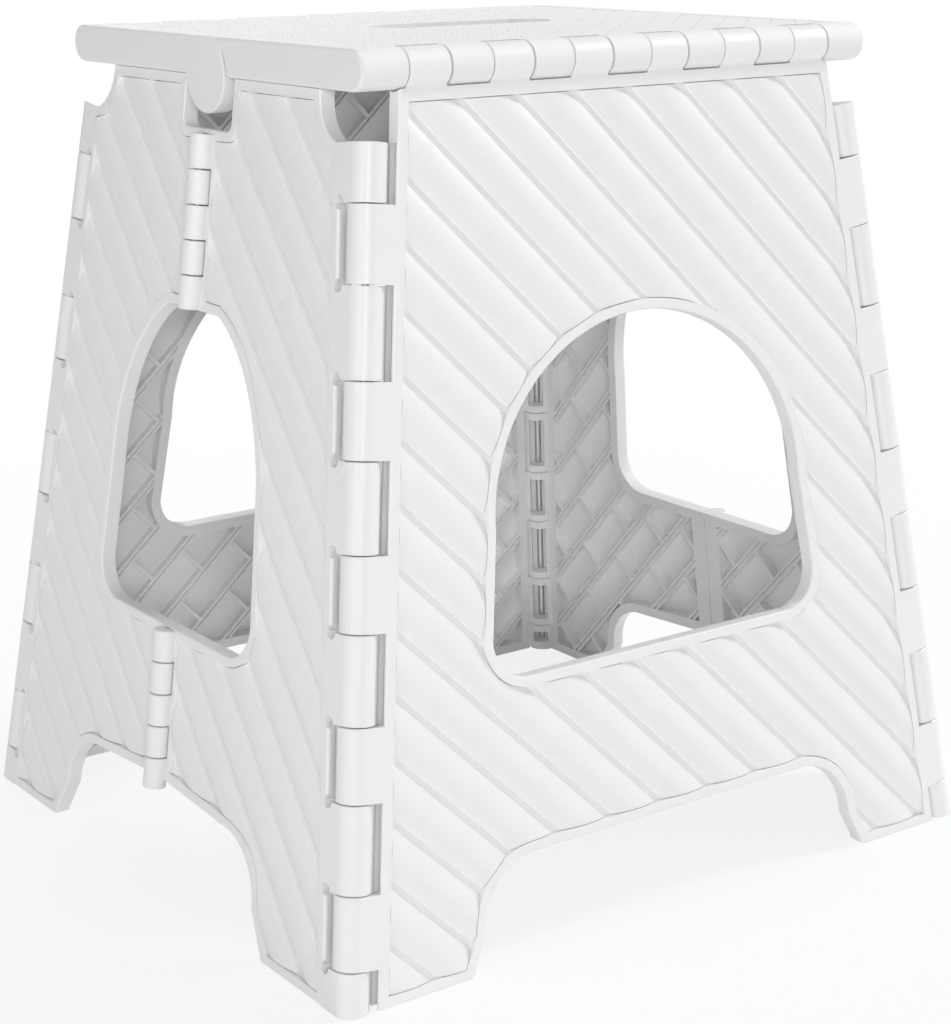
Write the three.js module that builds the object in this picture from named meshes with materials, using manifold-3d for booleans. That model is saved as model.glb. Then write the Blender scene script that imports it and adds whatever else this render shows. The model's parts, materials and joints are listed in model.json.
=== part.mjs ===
// Folding step stool: eight moulded plastic panels hinged on twelve hidden pins.
// The origin is on the floor under the middle of the seat. +X is to the right of someone facing the
// front panel, +Y is to the back and +Z is up. Lengths are in millimetres and angles in degrees.
import * as THREE from "three";
import { mergeVertices } from "three/addons/utils/BufferGeometryUtils.js";
import Module from "manifold-3d";

const wasm = await Module();
wasm.setup();

// Overall size. The corner hinge axes lean inwards from the floor to the level of the seat's underside.
const seatHeight = 390;
const seatLength = 278;
const seatThickness = 17;
const cornerFloorX = 177;
const cornerFloorY = 161.5;
const cornerUpperX = 128;
const cornerUpperY = 114;

// Moulded panels
const panelThickness = 7.5;
const panelSkin = 2.4;
const rimWidth = 5;
const seamMargin = 3;
const grooveWidth = 2.6;
const grooveDepth = 1;
const bandPitch = 21;
const ribThickness = 2.2;
const ribBayLength = 90;
const bandsPerRibBay = 4;
const bandSlope = 45;

// Corner hinges: knuckles of the front or back panel between the barrels of a side
const cornerBarrelRadius = 8;
const cornerBarrelGap = 1.2;
const cornerKnuckleStart = 18;
const cornerKnuckleLength = 32.5;
const cornerKnucklePitch = 71;
const cornerBarrelDrop = 14;
const cornerTopBarrelLeast = 12;
const knuckleEndGap = 0.45;
const webOverlap = 1.5;

// Pins and their bores
const pinRadius = 1.6;
const pinFit = 0.3;
const pinEndWall = 4;
const pinEndPlay = 0.6;

// Side hinges, between the halves of a side. Their axis lies outside the side's outer face.
const sideHingeOut = 1.5;
const sideBarrelRadius = 5.5;
const sideUpperDrop = 23;
const sideUpperLength = 78;
const sideLowerOverhang = 5;
const sideLowerEndGap = 1;
const sideKnuckleCount = 5;
const seamGap = 0.4;
const leftHingePlay = 0.6;
const rightHingePlay = 1.5;
const rightHingeBorePlay = 1.1;

// Front and back panel outline
const frontArchHeight = 47;
const frontArchFlat = 80;
const frontArchRadius = 30;
const frontFootInner = 117;
const frontOpeningBottom = 125;
const frontOpeningShoulder = 65;
const frontOpeningHead = 98.5;
const frontOpeningHalf = 88;
const frontOpeningBaseHalf = 94;
const frontOpeningCorner = 18;

// Side outline
const sideArchHeight = 52;
const sideArchDrop = 4;
const sideArchFlat = 62;
const sideArchRadius = 28;
const sideFootInner = 100;
const sideOpeningBottom = 125;
const sideOpeningShoulder = 65;
const sideOpeningCrown = 5;
const sideOpeningHalf = 66;
const sideOpeningBaseHalf = 70;
const sideOpeningCorner = 18;
const cornerNotchInner = 90;
const cornerNotchDepth = 19;
const cornerNotchRadius = 20;
const middleNotchHalf = 21;
const middleNotchDepth = 21;
const middleNotchRadius = 4;
const seatGap = 0.4;

// Seat halves: edge hinges on the front and back panels, centre hinge under the seam
const edgeHingeStep = 3;
const edgeKnucklePitch = 21.1;
const edgeKnuckleCount = 11;
const edgeHingeGap = 0.6;
const centreHingeDrop = 8;
const centreLobeRadius = 7.5;
const centreLobeStart = 52;
const centreLobeLength = 25;
const centreLobeCount = 3;
const centreHingePlay = 2.6;
const seamRelief = 2.2;
const seamReliefHeight = 7;
const earWidth = 9.5;
const earRadius = 17;
const earUpperStep = 2;
const earFrontGap = 0.4;
const earStartAngle = -180;
const earUpperAngle = 40;
const earEndAngle = 90;
const slotHalfLength = 50;
const slotHalfWidth = 14;
const seatSkin = 4;
const seatRib = 2.6;
const seatBayCountX = 7;
const seatBayStart = 12;
const seatBayEnd = 94;
const seatBayMiddle = 52;

// Facets and overruns
const barrelSides = 12;
const smallBarrelSides = 10;
const pinSides = 8;
const boreSides = 6;
const arcSteps = 3;
const earSteps = 12;
const earRoomSides = 24;
const overrun = 30;
const weldDistance = 0.0005;

// Levels that follow from the sizes above
const seatCentreZ = seatHeight - seatThickness / 2;
const seatUndersideZ = seatHeight - seatThickness;
const edgeHingeY = cornerUpperY + edgeHingeStep;
const cornerBarrelTop = seatUndersideZ - cornerBarrelDrop;
const cornerKnuckleCount =
  1 +
  Math.floor(
    (cornerBarrelTop - cornerTopBarrelLeast - cornerKnuckleStart - cornerKnuckleLength) /
      cornerKnucklePitch,
  );
const sideUpperEnd = seatUndersideZ - sideUpperDrop;
const sideUpperStart = sideUpperEnd - sideUpperLength;
const sideLowerStart = sideArchHeight - sideLowerOverhang;
const sideLowerEnd = sideOpeningBottom - sideLowerEndGap;
const frontOpeningCentre = frontOpeningBottom + frontOpeningShoulder;
const frontOpeningRise = seatUndersideZ - frontOpeningHead - frontOpeningCentre;
const sideOpeningCentre = sideOpeningBottom + sideOpeningShoulder;
const sideOpeningRise = sideUpperStart + sideOpeningCrown - sideOpeningCentre;
const cornerNotchFloor = seatUndersideZ - cornerNotchDepth;
const middleNotchFloor = seatUndersideZ - middleNotchDepth;

const plastic = new THREE.MeshStandardMaterial({ color: 0xf6f6f6, roughness: 0.42, metalness: 0 });
const steel = new THREE.MeshStandardMaterial({ color: 0xb9bcc0, roughness: 0.35, metalness: 1 });

const radians = THREE.MathUtils.degToRad;
const vec = (x, y, z) => new THREE.Vector3(x, y, z);
const basis = (u, v, n, origin) => new THREE.Matrix4().makeBasis(u, v, n).setPosition(origin);
const edgeBarrelRadius = seatThickness / 2;
const innerFace = cornerBarrelRadius - panelThickness;
const outerFace = cornerBarrelRadius;
const panelEdge = cornerBarrelRadius + cornerBarrelGap;

// A closed three.js geometry as a solid that can be joined and cut
function solid(geometry, matrix) {
  const bare = geometry.clone();
  for (const name of Object.keys(bare.attributes)) {
    if (name !== "position") bare.deleteAttribute(name);
  }
  if (matrix) bare.applyMatrix4(matrix);
  const merged = mergeVertices(bare, weldDistance);
  return new wasm.Manifold(
    new wasm.Mesh({
      numProp: 3,
      vertProperties: merged.attributes.position.array,
      triVerts: new Uint32Array(merged.index.array),
    }),
  );
}

const joined = (solids) => solids.reduce((all, next) => all.add(next));

function meshOf(name, shape, material) {
  const { numProp, vertProperties, triVerts } = shape.getMesh();
  const geometry = new THREE.BufferGeometry();
  if (numProp !== 3) throw new Error(`${name} carries more than positions`);
  geometry.setAttribute("position", new THREE.BufferAttribute(vertProperties, numProp));
  geometry.setIndex(new THREE.BufferAttribute(triVerts, 1));
  geometry.computeVertexNormals();
  const mesh = new THREE.Mesh(geometry, material);
  mesh.name = name;
  return mesh;
}

// A box between two corners
function block(low, high, matrix) {
  const size = high.clone().sub(low);
  const geometry = new THREE.BoxGeometry(size.x, size.y, size.z);
  geometry.translate(low.x + size.x / 2, low.y + size.y / 2, low.z + size.z / 2);
  return solid(geometry, matrix);
}

// An outline drawn in a panel's plane, given thickness along the panel's normal
function plate(shape, low, high, matrix) {
  const options = { depth: high - low, bevelEnabled: false, curveSegments: arcSteps };
  return solid(new THREE.ExtrudeGeometry(shape, options).translate(0, 0, low), matrix);
}

// A rod between two points. A bore is widened so that its flats clear the radius.
function rodGeometry(from, to, radius, sides) {
  const along = to.clone().sub(from);
  const geometry = new THREE.CylinderGeometry(radius, radius, along.length(), sides);
  const turn = new THREE.Quaternion().setFromUnitVectors(vec(0, 1, 0), along.clone().normalize());
  geometry.applyQuaternion(turn);
  return geometry.translate(...from.clone().lerp(to, 0.5).toArray());
}

const rod = (from, to, radius, sides = barrelSides) => solid(rodGeometry(from, to, radius, sides));
const bore = (from, to, radius, sides = barrelSides) =>
  solid(rodGeometry(from, to, radius / Math.cos(Math.PI / sides), sides));

function pin(name, from, to) {
  const mesh = new THREE.Mesh(rodGeometry(from, to, pinRadius, pinSides), steel);
  mesh.name = name;
  return mesh;
}

// A leaning panel's own frame: u runs along the panel, v up its slope and n out of its outer face.
// The corner hinge axes lie in the plane n = 0.
function panelFrame(floorOffset, upperOffset, floorHalf, upperHalf) {
  const slope = Math.atan2(floorOffset - upperOffset, seatUndersideZ);
  const length = Math.hypot(floorOffset - upperOffset, seatUndersideZ);
  const lean = Math.atan2(floorHalf - upperHalf, length);
  return {
    slope,
    floorHalf,
    lean,
    matrix: basis(
      vec(1, 0, 0),
      vec(0, Math.sin(slope), Math.cos(slope)),
      vec(0, -Math.cos(slope), Math.sin(slope)),
      vec(0, -floorOffset, 0),
    ),
    // The panel's half width between its corner axes, at a place up its slope
    half: (v) => floorHalf - v * Math.tan(lean),
    // A height above the floor as a place up the slope, on a given face
    up: (z, n) => (z - n * Math.sin(slope)) / Math.cos(slope),
  };
}

const frontFrame = panelFrame(cornerFloorY, cornerUpperY, cornerFloorX, cornerUpperX);
const sideFrame = panelFrame(cornerFloorX, cornerUpperX, cornerFloorY, cornerUpperY);

// A point on a panel's corner axis, a distance along it from the floor, moved inwards by offset
function cornerPoint(frame, sign, along, offset = 0) {
  const across = frame.floorHalf - along * Math.sin(frame.lean) - offset * Math.cos(frame.lean);
  return vec(sign * across, along * Math.cos(frame.lean) - offset * Math.sin(frame.lean), 0);
}

const cornerKnuckles = Array.from({ length: cornerKnuckleCount }, (_, i) => [
  cornerKnuckleStart + i * cornerKnucklePitch,
  cornerKnuckleStart + i * cornerKnucklePitch + cornerKnuckleLength,
]);
const cornerBarrels = [0, ...cornerKnuckles.map((k) => k[1])].map((start, i) => [
  i ? start : -overrun,
  i < cornerKnuckleCount ? cornerKnuckles[i][0] : cornerBarrelTop,
]);

// Hinge barrels on one edge of a panel, with the webs that join them to it
function cornerHinge(frame, sign, places) {
  return joined(
    places.map(([start, end]) => {
      const low = start + knuckleEndGap / 2;
      const high = end - knuckleEndGap / 2;
      const web = new THREE.Shape(
        [
          [low, 0],
          [high, 0],
          [high, panelEdge + webOverlap],
          [low, panelEdge + webOverlap],
        ].map(([along, offset]) => {
          const point = cornerPoint(frame, sign, along, offset);
          return new THREE.Vector2(point.x, point.y);
        }),
      );
      const barrel = rod(
        cornerPoint(frame, sign, low),
        cornerPoint(frame, sign, high),
        cornerBarrelRadius,
      );
      return barrel.add(plate(web, innerFace, outerFace));
    }),
  );
}

const cornerBore = (frame, sign) =>
  bore(
    cornerPoint(frame, sign, -overrun),
    cornerPoint(frame, sign, cornerBarrelTop - pinEndWall),
    pinRadius + pinFit,
    boreSides,
  );

// Everything below the floor, in a panel's own frame
function belowFloor(frame) {
  const reach = cornerFloorX + cornerFloorY;
  return block(vec(-reach, -reach, -reach), vec(reach, reach, 0), frame.matrix.clone().invert());
}

// The straight side of a panel at a place up its slope, clear of the hinge barrels
const panelSide = (frame, v, inset) => frame.half(v) - (panelEdge + inset) / Math.cos(frame.lean);

// Front panel outline. The inset draws the same outline further in, for the rim.
function frontOutline(inset) {
  const top = inset ? frontFrame.up(seatUndersideZ, outerFace) - inset : frontFrame.up(seatCentreZ, 0);
  const foot = inset || -overrun;
  const radius = frontArchRadius + inset;
  const archCentre = frontArchHeight - frontArchRadius;
  const shape = new THREE.Shape();
  shape.moveTo(-panelSide(frontFrame, foot, inset), foot);
  shape.lineTo(-frontFootInner - inset, foot);
  shape.absarc(-frontArchFlat, archCentre, radius, Math.PI, Math.PI / 2, true);
  shape.absarc(frontArchFlat, archCentre, radius, Math.PI / 2, 0, true);
  shape.lineTo(frontFootInner + inset, foot);
  shape.lineTo(panelSide(frontFrame, foot, inset), foot);
  shape.lineTo(panelSide(frontFrame, top, inset), top);
  shape.lineTo(-panelSide(frontFrame, top, inset), top);
  shape.closePath();

  const hole = new THREE.Path();
  const corner = frontOpeningCorner + inset;
  const baseHalf = frontOpeningBaseHalf + inset;
  const base = frontOpeningBottom - inset;
  hole.moveTo(-baseHalf + corner, base);
  hole.lineTo(baseHalf - corner, base);
  hole.absarc(baseHalf - corner, base + corner, corner, -Math.PI / 2, 0, false);
  const across = frontOpeningHalf + inset;
  const rise = frontOpeningRise + inset;
  hole.absellipse(0, frontOpeningCentre, across, rise, 0, Math.PI / 2, false);
  hole.absellipse(0, frontOpeningCentre, across, rise, Math.PI / 2, Math.PI, false);
  hole.absarc(-baseHalf + corner, base + corner, corner, Math.PI, Math.PI * 1.5, false);
  hole.closePath();
  shape.holes.push(hole);
  return shape;
}

// One half of a side: sign 1 is the half towards the front, -1 the half towards the back
function sideOutline(sign, inset) {
  const at = (u, v) => [sign * u, v];
  const seam = seamGap / 2 + (inset ? inset + seamMargin : 0);
  const top = sideFrame.up(seatUndersideZ, outerFace) + (inset ? -inset : overrun);
  const foot = inset || -overrun;
  const archRadius = sideArchRadius + inset;
  const archCentre = sideArchHeight - sideArchDrop - sideArchRadius;
  const corner = sideOpeningCorner + inset;
  const baseHalf = sideOpeningBaseHalf + inset;
  const base = sideOpeningBottom - inset;
  const shape = new THREE.Shape();
  const arc = (u, v, rx, ry, from, to) => {
    const turn = (a) => (sign > 0 ? a : Math.PI - a);
    shape.absellipse(sign * u, v, rx, ry, turn(from), turn(to), sign > 0 ? to < from : to > from);
  };
  shape.moveTo(...at(seam, sideArchHeight + inset));
  shape.lineTo(...at(sideArchFlat, archCentre + archRadius));
  arc(sideArchFlat, archCentre, archRadius, archRadius, Math.PI / 2, 0);
  shape.lineTo(...at(sideFootInner + inset, foot));
  shape.lineTo(...at(panelSide(sideFrame, foot, inset), foot));
  shape.lineTo(...at(panelSide(sideFrame, cornerNotchFloor - inset, inset), cornerNotchFloor - inset));
  const notchRadius = cornerNotchRadius + inset;
  arc(
    cornerNotchInner + cornerNotchRadius,
    cornerNotchFloor + cornerNotchRadius,
    notchRadius,
    notchRadius,
    Math.PI * 1.5,
    Math.PI,
  );
  shape.lineTo(...at(cornerNotchInner - inset, top));
  shape.lineTo(...at(middleNotchHalf + inset, top));
  shape.lineTo(...at(middleNotchHalf + inset, middleNotchFloor + middleNotchRadius));
  shape.lineTo(...at(middleNotchHalf - middleNotchRadius + inset, middleNotchFloor - inset));
  shape.lineTo(...at(seam, middleNotchFloor - inset));
  shape.lineTo(...at(seam, sideUpperStart + inset));
  const rise = sideOpeningRise + inset;
  const topAngle = Math.asin((sideUpperStart + inset - sideOpeningCentre) / rise);
  arc(0, sideOpeningCentre, sideOpeningHalf + inset, rise, topAngle, 0);
  arc(baseHalf - corner, base + corner, corner, corner, 0, -Math.PI / 2);
  shape.lineTo(...at(seam, base));
  shape.closePath();
  return shape;
}

// Copies of a bar across a field, turned to the slope of the moulded bands
function diagonalBars(count, width, length, low, high, placesInRow) {
  const turned = new THREE.Matrix4().makeRotationZ(radians(-bandSlope));
  const bars = [];
  for (let i = -count; i <= count; i++) {
    for (const [along, across] of placesInRow(i)) {
      const centre = vec(along, across, 0).applyMatrix4(turned);
      const margin = length / 2;
      const outside = Math.abs(centre.x) > cornerFloorX + margin;
      if (outside || centre.y < -margin || centre.y > seatHeight + margin) continue;
      const matrix = turned.clone().multiply(new THREE.Matrix4().makeTranslation(along, across, 0));
      bars.push(block(vec(-length / 2, -width / 2, low), vec(length / 2, width / 2, high), matrix));
    }
  }
  return joined(bars);
}

// The grooves between the bands of an outer face, kept inside the rim
function grooves(field) {
  const reach = Math.hypot(cornerFloorX, seatHeight);
  const count = Math.ceil(reach / bandPitch);
  const bars = diagonalBars(
    count,
    grooveWidth,
    2 * reach,
    outerFace - grooveDepth,
    outerFace + overrun,
    (i) => [[0, i * bandPitch]],
  );
  return bars.intersect(plate(field, outerFace - grooveDepth, outerFace + overrun));
}

// The hollows between the ribs of an inner face: long diagonal ribs and short staggered cross ribs
function ribBays(field) {
  const pitch = bandPitch * bandsPerRibBay;
  const reach = Math.hypot(cornerFloorX, seatHeight);
  const rows = Math.ceil(reach / pitch);
  const columns = Math.ceil(reach / ribBayLength);
  const high = outerFace - panelSkin;
  const bars = diagonalBars(
    rows,
    pitch - ribThickness,
    ribBayLength - ribThickness,
    innerFace - overrun,
    high,
    (i) =>
      Array.from({ length: 2 * columns + 1 }, (_, j) => [
        (j - columns + (i % 2 ? 0.5 : 0)) * ribBayLength,
        i * pitch,
      ]),
  );
  return bars.intersect(plate(field, innerFace - overrun, high));
}

// Edge hinge knuckles along the seat's front edge: every second one belongs to the seat
const edgeKnuckle = (i) => {
  const start = (i - edgeKnuckleCount / 2) * edgeKnucklePitch;
  return [start + knuckleEndGap / 2, start + edgeKnucklePitch - knuckleEndGap / 2];
};
const panelEdgeKnuckles = Array.from({ length: (edgeKnuckleCount + 1) / 2 }, (_, i) =>
  edgeKnuckle(2 * i),
);
const seatEdgeKnuckles = Array.from({ length: (edgeKnuckleCount - 1) / 2 }, (_, i) =>
  edgeKnuckle(2 * i + 1),
);
const edgeKnuckleReach = (edgeKnuckleCount * edgeKnucklePitch) / 2;

// The seat's edge hinge axis at a place along it, in a panel's own frame
const edgePoint = (x) => vec(x, -edgeHingeY, seatCentreZ).applyMatrix4(frontFrame.matrix.clone().invert());
const alongEdge = ([from, to], radius, sides) => rod(edgePoint(from), edgePoint(to), radius, sides);
const pinReach = seatLength / 2 - pinEndWall;

function frontPanel() {
  const field = frontOutline(rimWidth);
  let panel = plate(frontOutline(0), innerFace, outerFace);
  panel = panel.subtract(grooves(field)).subtract(ribBays(field));
  const seatSide = [
    [-seatLength, -edgeKnuckleReach + knuckleEndGap / 2],
    ...seatEdgeKnuckles.map(([from, to]) => [from - knuckleEndGap, to + knuckleEndGap]),
    [edgeKnuckleReach - knuckleEndGap / 2, seatLength],
  ];
  for (const [from, to] of seatSide) {
    const underSeat = block(
      vec(from, -edgeHingeY, seatUndersideZ - edgeHingeGap),
      vec(to, 0, seatHeight),
      frontFrame.matrix.clone().invert(),
    );
    panel = panel
      .subtract(bore(edgePoint(from), edgePoint(to), edgeBarrelRadius + edgeHingeGap))
      .subtract(underSeat);
  }
  panel = joined([
    panel,
    ...panelEdgeKnuckles.map((ends) => alongEdge(ends, edgeBarrelRadius)),
    cornerHinge(frontFrame, -1, cornerKnuckles),
    cornerHinge(frontFrame, 1, cornerKnuckles),
  ]);
  return panel
    .subtract(bore(edgePoint(-seatLength), edgePoint(seatLength), pinRadius + pinFit, boreSides))
    .subtract(cornerBore(frontFrame, -1))
    .subtract(cornerBore(frontFrame, 1))
    .subtract(belowFloor(frontFrame));
}

// The side hinge's knuckles from its lower end, with the half that each belongs to. The outermost
// ones are on the half towards the front.
function sideKnuckles(start, end) {
  const pitch = (end - start) / sideKnuckleCount;
  return Array.from({ length: sideKnuckleCount }, (_, i) => ({
    low: start + i * pitch,
    high: start + (i + 1) * pitch,
    sign: i % 2 ? -1 : 1,
  }));
}

const sideHinge = (v) => vec(0, v, outerFace + sideHingeOut);
const sideHinges = [
  [sideLowerStart, sideLowerEnd],
  [sideUpperStart, sideUpperEnd],
];

// One half of a side. The play is the room left round the other half's knuckles, and borePlay the
// room round the pin beyond its running fit.
function sideHalf(sign, play, borePlay) {
  const field = sideOutline(sign, rimWidth);
  let half = plate(sideOutline(sign, 0), innerFace, outerFace);
  half = half.subtract(grooves(field)).subtract(ribBays(field));
  for (const [start, end] of sideHinges) {
    const knuckles = sideKnuckles(start, end);
    const others = knuckles.filter((k) => k.sign !== sign);
    const own = knuckles.filter((k) => k.sign === sign);
    for (const { low, high } of others) {
      const room = sideBarrelRadius + play;
      half = half.subtract(
        bore(sideHinge(low - play / 2), sideHinge(high + play / 2), room, smallBarrelSides),
      );
    }
    for (const { low, high } of own) {
      const ends = [sideHinge(low + play / 2), sideHinge(high - play / 2)];
      half = half.add(rod(...ends, sideBarrelRadius, smallBarrelSides));
    }
    const hole = bore(
      sideHinge(start + pinEndWall),
      sideHinge(end - pinEndWall),
      pinRadius + pinFit + borePlay,
      boreSides,
    );
    half = half.subtract(hole);
  }
  const reach = cornerFloorX + cornerFloorY;
  const aboveSeat = block(
    vec(-reach, -reach, seatUndersideZ - seatGap),
    vec(reach, reach, seatHeight + reach),
    sideFrame.matrix.clone().invert(),
  );
  return half
    .add(cornerHinge(sideFrame, sign, cornerBarrels))
    .subtract(cornerBore(sideFrame, sign))
    .subtract(aboveSeat)
    .subtract(belowFloor(sideFrame));
}

// Seat half towards the front, from its edge hinge axis at y = 0 to the seam. The other half is the
// same moulding turned round. borePlay is the room round the pin of the centre hinge beyond its
// running fit.
function seatHalf(borePlay) {
  const seam = edgeHingeY;
  const round = edgeBarrelRadius;
  const alongX = basis(vec(0, 1, 0), vec(0, 0, 1), vec(1, 0, 0), vec(0, 0, 0));
  const end = seatLength / 2;
  const profile = new THREE.Shape();
  profile.absarc(0, 0, round, Math.PI / 2, Math.PI * 1.5, false);
  profile.lineTo(seam - seamGap / 2 - seamRelief, -round);
  profile.lineTo(seam - seamGap / 2, seamReliefHeight - round);
  profile.lineTo(seam - seamGap / 2, round);
  profile.closePath();
  let half = plate(profile, -end, end, alongX);
  const centre = (x) => vec(x, seam, -centreHingeDrop);

  // Room for the panel's knuckles and for the panel below them
  const fromPanel = new THREE.Matrix4()
    .makeTranslation(0, edgeHingeY, -seatCentreZ)
    .multiply(frontFrame.matrix);
  for (const [start, stop] of panelEdgeKnuckles) {
    const from = start - knuckleEndGap;
    const to = stop + knuckleEndGap;
    const panelRoom = block(
      vec(from, 0, innerFace - edgeHingeGap),
      vec(to, frontFrame.up(seatCentreZ, 0), outerFace),
      fromPanel,
    );
    half = half
      .subtract(bore(vec(from, 0, 0), vec(to, 0, 0), round + edgeHingeGap))
      .subtract(panelRoom);
  }

  // Centre hinge lobes: those with sign 1 are on this half
  for (const side of [-1, 1]) {
    for (let i = 0; i < centreLobeCount; i++) {
      const own = (i % 2 ? -1 : 1) === side;
      const from = side * (centreLobeStart + i * centreLobeLength);
      const to = side * (centreLobeStart + (i + 1) * centreLobeLength);
      const [low, high] = [Math.min(from, to), Math.max(from, to)];
      const gap = (own ? knuckleEndGap : -knuckleEndGap) / 2;
      const ends = [centre(low + gap), centre(high - gap)];
      if (own) {
        half = half.add(rod(...ends, centreLobeRadius, smallBarrelSides));
      } else {
        const reach = centreLobeRadius + centreHingePlay + pinFit;
        half = half.subtract(bore(...ends, reach, smallBarrelSides));
      }
    }
  }

  // The end ear on this half, and the room for the other half's ear
  const inner = end - earWidth;
  const earUpperRadius = earRadius + earUpperStep;
  const ear = new THREE.Shape(
    Array.from({ length: earSteps + 1 }, (_, i) => {
      const angle = radians(THREE.MathUtils.lerp(earStartAngle, earEndAngle, i / earSteps));
      const radius = angle > radians(earUpperAngle) ? earUpperRadius : earRadius;
      return new THREE.Vector2(seam + radius * Math.cos(angle), radius * Math.sin(angle) - centreHingeDrop);
    }),
  );
  const aboveTop = block(
    vec(-end - overrun, -overrun, round),
    vec(end + overrun, seam + earUpperRadius + overrun, round + earUpperRadius),
  );
  half = half.add(plate(ear, inner, end, alongX).subtract(aboveTop));
  const room = earUpperRadius + earFrontGap;
  half = half.subtract(bore(centre(-end - overrun), centre(-inner + earFrontGap), room, earRoomSides));

  // Handle slot
  const slot = new THREE.Shape();
  const straight = slotHalfLength - slotHalfWidth;
  slot.absarc(straight, seam, slotHalfWidth, -Math.PI / 2, Math.PI / 2, false);
  slot.absarc(-straight, seam, slotHalfWidth, Math.PI / 2, Math.PI * 1.5, false);
  slot.closePath();
  half = half.subtract(plate(slot, -overrun, overrun));

  // Hollow underside between ribs
  const bayPitch = (2 * (end - seatBayStart)) / seatBayCountX;
  for (let i = 0; i < seatBayCountX; i++) {
    const low = -end + seatBayStart + i * bayPitch + seatRib / 2;
    for (const [near, far] of [
      [seatBayStart, seatBayMiddle - seatRib / 2],
      [seatBayMiddle + seatRib / 2, seatBayEnd],
    ]) {
      half = half.subtract(
        block(vec(low, near, -overrun), vec(low + bayPitch - seatRib, far, round - seatSkin)),
      );
    }
  }

  const pinHole = bore(vec(-pinReach, 0, 0), vec(pinReach, 0, 0), pinRadius + pinFit, boreSides);
  half = half.subtract(pinHole);
  for (const side of [-1, 1]) {
    const from = centre(side * (centreLobeStart - overrun));
    const to = centre(side * inner);
    half = half.subtract(bore(from, to, pinRadius + pinFit + borePlay, boreSides));
  }
  return half;
}

const stool = new THREE.Group();
const place = (mesh, matrix, parent) => {
  matrix.decompose(mesh.position, mesh.quaternion, mesh.scale);
  parent.add(mesh);
};

// The front, the left side and their pins; the back and the right side are the same mouldings turned
// half way round the middle of the stool.
const sideTurn = new THREE.Matrix4().makeRotationZ(-Math.PI / 2);
const sideMatrix = sideTurn.clone().multiply(sideFrame.matrix);
const names = {
  front: ["front_panel", "left_side_front", "left_side_back", "seat_front"],
  back: ["back_panel", "right_side_back", "right_side_front", "seat_back"],
};
for (const [end, [panelName, nearName, farName, seatName]] of Object.entries(names)) {
  const group = new THREE.Group();
  group.rotation.z = end === "front" ? 0 : Math.PI;
  stool.add(group);
  const play = end === "front" ? leftHingePlay : rightHingePlay;
  const pinned = end === "front" ? 1 : -1;
  const side = end === "front" ? "left" : "right";
  const borePlay = (sign) => (end === "back" && sign !== pinned ? rightHingeBorePlay : 0);

  place(meshOf(panelName, frontPanel(), plastic), frontFrame.matrix, group);
  place(meshOf(nearName, sideHalf(1, play, borePlay(1)), plastic), sideMatrix, group);
  place(meshOf(farName, sideHalf(-1, play, borePlay(-1)), plastic), sideMatrix, group);
  const seatPlace = new THREE.Matrix4().makeTranslation(0, -edgeHingeY, seatCentreZ);
  place(meshOf(seatName, seatHalf(end === "front" ? 0 : centreHingePlay), plastic), seatPlace, group);

  const cornerPinEnd = cornerBarrelTop - pinEndWall - pinEndPlay;
  for (const sign of [-1, 1]) {
    const outer = sign < 0 === (end === "front") ? "left" : "right";
    const corner = pin(
      `corner_pin_${end}_${outer}`,
      cornerPoint(frontFrame, sign, pinEndWall),
      cornerPoint(frontFrame, sign, cornerPinEnd),
    );
    place(corner, frontFrame.matrix, group);
  }
  for (const [label, [start, stop]] of [["lower", sideHinges[0]], ["upper", sideHinges[1]]]) {
    const middle = pin(
      `side_pin_${side}_${label}`,
      sideHinge(start + pinEndWall + pinEndPlay),
      sideHinge(stop - pinEndWall - pinEndPlay),
    );
    place(middle, sideMatrix, group);
  }
  const reach = pinReach - pinEndPlay;
  place(pin(`edge_pin_${end}`, vec(-reach, 0, 0), vec(reach, 0, 0)), seatPlace, group);
}

// The two centre pins lie either side of the handle slot
for (const [label, side] of [["left", -1], ["right", 1]]) {
  const from = side * (centreLobeStart + pinEndPlay);
  const to = side * (seatLength / 2 - earWidth - pinEndWall);
  const centrePin = pin(
    `centre_pin_${label}`,
    vec(Math.min(from, to), 0, 0),
    vec(Math.max(from, to), 0, 0),
  );
  place(centrePin, new THREE.Matrix4().makeTranslation(0, 0, seatCentreZ - centreHingeDrop), stool);
}

export default stool;
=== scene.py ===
"""Folding step stool in white moulded polypropylene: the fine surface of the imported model.

The panels are drawn in their own leaning planes: u runs along a panel, v up its slope and n out of
its outer face. Lengths in the drawing functions are in millimetres.
"""

import json
import math

import bpy
import bmesh
from mathutils import Matrix, Vector
from mathutils.geometry import tessellate_polygon


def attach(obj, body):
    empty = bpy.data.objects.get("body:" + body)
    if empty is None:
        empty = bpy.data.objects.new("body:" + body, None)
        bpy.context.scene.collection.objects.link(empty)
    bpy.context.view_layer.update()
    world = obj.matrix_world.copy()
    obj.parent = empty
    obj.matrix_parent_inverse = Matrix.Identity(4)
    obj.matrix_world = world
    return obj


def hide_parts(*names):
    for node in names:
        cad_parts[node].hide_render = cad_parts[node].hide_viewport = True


bl_info = {
    "name": "Folding step stool",
    "version": (1, 0, 0),
    "blender": (4, 5, 0),
    "location": "View3D > Sidebar > Stool",
    "description": "Builds a white folding step stool on its packed frame",
    "category": "Object",
}

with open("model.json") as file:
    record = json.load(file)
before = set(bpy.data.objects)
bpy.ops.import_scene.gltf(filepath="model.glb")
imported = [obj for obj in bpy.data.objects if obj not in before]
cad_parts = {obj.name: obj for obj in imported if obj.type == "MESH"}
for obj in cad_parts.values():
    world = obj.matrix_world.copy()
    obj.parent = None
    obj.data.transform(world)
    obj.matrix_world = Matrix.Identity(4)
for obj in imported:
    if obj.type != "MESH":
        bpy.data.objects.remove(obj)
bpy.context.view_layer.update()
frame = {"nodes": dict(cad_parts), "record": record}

MM = 0.001

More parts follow.
